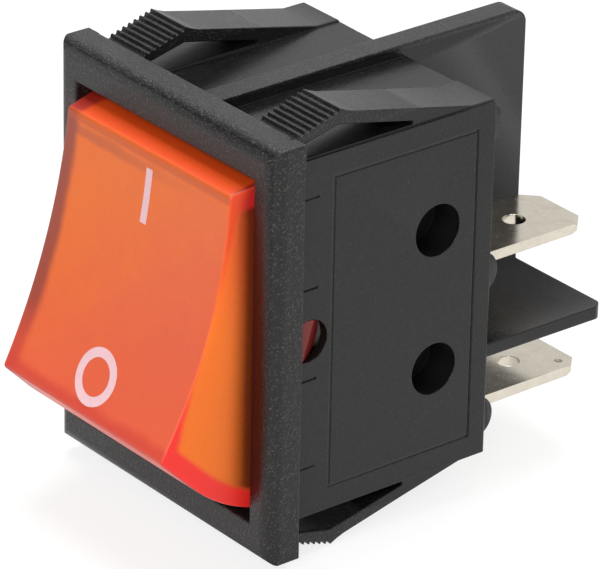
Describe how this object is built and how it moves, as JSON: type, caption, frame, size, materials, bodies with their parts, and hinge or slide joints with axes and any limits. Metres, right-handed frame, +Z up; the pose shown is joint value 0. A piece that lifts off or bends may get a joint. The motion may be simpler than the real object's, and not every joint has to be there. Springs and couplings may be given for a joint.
{
  "type": "panel rocker switch",
  "caption": "Snap-in panel rocker switch with a translucent illuminated rocker, upright and flat barriers behind the body, and flat push-on tab terminals.",
  "frame": {"origin": "centre of the panel cut-out, on the rear face of the bezel, which seats on the panel", "axes": "+Y into the panel along the body, -Y out towards the user, +Z up along the longer side of the bezel towards the I end, +X across the bezel"},
  "size_m": [0.025, 0.0393, 0.034],
  "materials": {
    "black_plastic": "fine matt moulded grain",
    "orange_lens": "translucent, satin",
    "white_plastic": "smooth",
    "lamp_glass": "clear",
    "resistor_body": "lacquered",
    "tinned_wire": "tinned copper",
    "natural_plastic": "smooth",
    "spring_steel": "drawn wire",
    "copper_strip": "satin rolled copper",
    "contact_silver": "satin silver",
    "plated_brass": "nickel-plated brass, bright"
  },
  "bodies": {
    "housing": {"housing": "black_plastic", "common_terminal_left": "plated_brass", "common_terminal_right": "plated_brass", "switched_terminal_left": "plated_brass", "switched_terminal_right": "plated_brass", "fixed_contact_left": "contact_silver", "fixed_contact_right": "contact_silver"},
    "rocker": {"rocker_lens": "orange_lens", "lamp_tray": "white_plastic", "neon_lamp": "lamp_glass", "resistor": "resistor_body", "lamp_lead_left": "tinned_wire", "lamp_link": "tinned_wire", "lamp_lead_right": "tinned_wire", "plunger_spring_left": "spring_steel", "plunger_spring_right": "spring_steel"},
    "plunger_left": {"plunger_left": "natural_plastic"},
    "plunger_right": {"plunger_right": "natural_plastic"},
    "contact_left": {"contact_rocker_left": "copper_strip", "moving_contact_left": "contact_silver"},
    "contact_right": {"contact_rocker_right": "copper_strip", "moving_contact_right": "contact_silver"}
  },
  "joints": [
    {"name": "rocker_tilt", "type": "hinge", "parent": "housing", "child": "rocker", "pos_m": [0, 0.00175, 0], "axis": [1, 0, 0], "range_deg": [0, 34.4]},
    {"name": "contact_tilt_left", "type": "hinge", "parent": "housing", "child": "contact_left", "pos_m": [-0.0058, 0.01341, 0], "axis": [1, 0, 0], "range_deg": [-17.2, 0]},
    {"name": "plunger_slide_left", "type": "slide", "parent": "rocker", "child": "plunger_left", "axis": [0, -0.9553, 0.2957], "range_m": [0, 0.0008], "stiffness_N_per_m": 400, "springref_m": -0.002, "deforming": ["plunger_spring_left"]},
    {"name": "contact_tilt_right", "type": "hinge", "parent": "housing", "child": "contact_right", "pos_m": [0.0058, 0.01341, 0], "axis": [1, 0, 0], "range_deg": [-17.2, 0]},
    {"name": "plunger_slide_right", "type": "slide", "parent": "rocker", "child": "plunger_right", "axis": [0, -0.9553, 0.2957], "range_m": [0, 0.0008], "stiffness_N_per_m": 400, "springref_m": -0.002, "deforming": ["plunger_spring_right"]}
  ],
  "couplings": [
    {"joint": "contact_tilt_left", "follows": "rocker_tilt", "ratio": -0.5},
    {"joint": "contact_tilt_right", "follows": "rocker_tilt", "ratio": -0.5}
  ]
}
